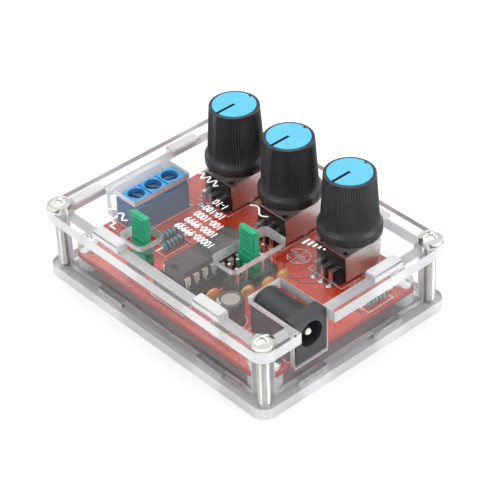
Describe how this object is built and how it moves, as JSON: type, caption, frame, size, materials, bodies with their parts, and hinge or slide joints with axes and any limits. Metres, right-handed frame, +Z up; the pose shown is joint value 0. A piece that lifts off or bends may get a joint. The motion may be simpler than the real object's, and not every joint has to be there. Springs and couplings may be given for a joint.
{
  "type": "function generator",
  "caption": "Bench function generator in a clear sheet case, with ribbed control knobs, plug-in jumpers, screw terminals and a power jack on one circuit board.",
  "frame": {"origin": "centre of the case's underside, in the plane that it rests on", "axes": "+Z up; +X along the case towards the screw terminals, with the power jack at -X; the knobs are on the -Y side"},
  "size_m": [0.075, 0.057, 0.0345],
  "materials": {
    "acrylic": "clear cast sheet with laser-cut edges",
    "screw_steel": "nickel plated",
    "nylon": "natural nylon",
    "board_red": "red solder mask on glass-fibre board",
    "socket_black": "moulded",
    "chip_dark": "moulded epoxy",
    "tinned": "tin plated",
    "resistor_blue": "lacquer with colour bands",
    "can_sleeve": "shrink sleeve with vented aluminium top",
    "ceramic_amber": "dipped coating",
    "jack_black": "moulded",
    "terminal_blue": "moulded nylon",
    "terminal_steel": "zinc plated",
    "header_black": "moulded",
    "contact_gold": "flash plated",
    "jumper_green": "moulded",
    "pot_black": "moulded",
    "pot_steel": "tin plated sheet",
    "shaft_alloy": "knurled",
    "knob_black": "ribbed, satin",
    "cap_blue": "pressed-in disc"
  },
  "bodies": {
    "case": {"bottom_plate": "acrylic", "top_plate": "acrylic", "front_wall": "acrylic", "rear_wall": "acrylic", "left_wall": "acrylic", "right_wall": "acrylic", "case_screws": "screw_steel", "board_screws": "screw_steel", "board_spacers": "nylon", "circuit_board": "board_red", "chip_socket": "socket_black", "chip_socket_pins": "tinned", "chip_body": "chip_dark", "chip_pins": "tinned", "resistor_bodies": "resistor_blue", "resistor_leads": "tinned", "electrolytic_can": "can_sleeve", "electrolytic_leads": "tinned", "ceramic_capacitors": "ceramic_amber", "ceramic_leads": "tinned", "power_jack_housing": "jack_black", "power_jack_pin": "tinned", "power_jack_contacts": "tinned", "terminal_block_housing": "terminal_blue", "terminal_block_pins": "tinned", "waveform_header_base": "header_black", "waveform_header_pins": "contact_gold", "range_header_base": "header_black", "range_header_pins": "contact_gold", "pot_1_body": "pot_black", "pot_1_cover": "pot_steel", "pot_1_pins": "tinned", "pot_2_body": "pot_black", "pot_2_cover": "pot_steel", "pot_2_pins": "tinned", "pot_3_body": "pot_black", "pot_3_cover": "pot_steel", "pot_3_pins": "tinned"},
    "control_1": {"pot_1_shaft": "shaft_alloy", "knob_1": "knob_black", "knob_1_cap": "cap_blue"},
    "control_2": {"pot_2_shaft": "shaft_alloy", "knob_2": "knob_black", "knob_2_cap": "cap_blue"},
    "control_3": {"pot_3_shaft": "shaft_alloy", "knob_3": "knob_black", "knob_3_cap": "cap_blue"},
    "waveform_jumper": {"waveform_jumper_cap": "jumper_green", "waveform_jumper_clip": "contact_gold"},
    "range_jumper": {"range_jumper_cap": "jumper_green", "range_jumper_clip": "contact_gold"},
    "clamp_screw_1": {"terminal_screw_1": "terminal_steel"},
    "clamp_cage_1": {"terminal_cage_1": "terminal_steel"},
    "clamp_screw_2": {"terminal_screw_2": "terminal_steel"},
    "clamp_cage_2": {"terminal_cage_2": "terminal_steel"},
    "clamp_screw_3": {"terminal_screw_3": "terminal_steel"},
    "clamp_cage_3": {"terminal_cage_3": "terminal_steel"}
  },
  "joints": [
    {"name": "control_1_turn", "type": "hinge", "parent": "case", "child": "control_1", "pos_m": [0.0192, -0.0157, 0.019], "axis": [0, 0, 1], "range_deg": [-140, 140]},
    {"name": "control_2_turn", "type": "hinge", "parent": "case", "child": "control_2", "pos_m": [0.0008, -0.0157, 0.019], "axis": [0, 0, 1], "range_deg": [-140, 140]},
    {"name": "control_3_turn", "type": "hinge", "parent": "case", "child": "control_3", "pos_m": [-0.0188, -0.0157, 0.019], "axis": [0, 0, 1], "range_deg": [-140, 140]},
    {"name": "waveform_jumper_pull", "type": "slide", "parent": "case", "child": "waveform_jumper", "axis": [0, 0, 1], "range_m": [0, 0.012]},
    {"name": "range_jumper_pull", "type": "slide", "parent": "case", "child": "range_jumper", "axis": [0, 0, 1], "range_m": [0, 0.012]},
    {"name": "clamp_screw_1_turn", "type": "hinge", "parent": "case", "child": "clamp_screw_1", "pos_m": [0.0269, 0.00878, 0.0155], "axis": [0, 0, -1], "range_deg": [0, 1080]},
    {"name": "clamp_cage_1_rise", "type": "slide", "parent": "case", "child": "clamp_cage_1", "axis": [0, 0, 1], "range_m": [0, 0.0015]},
    {"name": "clamp_screw_2_turn", "type": "hinge", "parent": "case", "child": "clamp_screw_2", "pos_m": [0.0269, 0.0037, 0.0155], "axis": [0, 0, -1], "range_deg": [0, 1080]},
    {"name": "clamp_cage_2_rise", "type": "slide", "parent": "case", "child": "clamp_cage_2", "axis": [0, 0, 1], "range_m": [0, 0.0015]},
    {"name": "clamp_screw_3_turn", "type": "hinge", "parent": "case", "child": "clamp_screw_3", "pos_m": [0.0269, -0.00138, 0.0155], "axis": [0, 0, -1], "range_deg": [0, 1080]},
    {"name": "clamp_cage_3_rise", "type": "slide", "parent": "case", "child": "clamp_cage_3", "axis": [0, 0, 1], "range_m": [0, 0.0015]}
  ],
  "couplings": [
    {"joint": "clamp_screw_1_turn", "follows": "clamp_cage_1_rise", "rad_per_m": 12566},
    {"joint": "clamp_screw_2_turn", "follows": "clamp_cage_2_rise", "rad_per_m": 12566},
    {"joint": "clamp_screw_3_turn", "follows": "clamp_cage_3_rise", "rad_per_m": 12566}
  ]
}
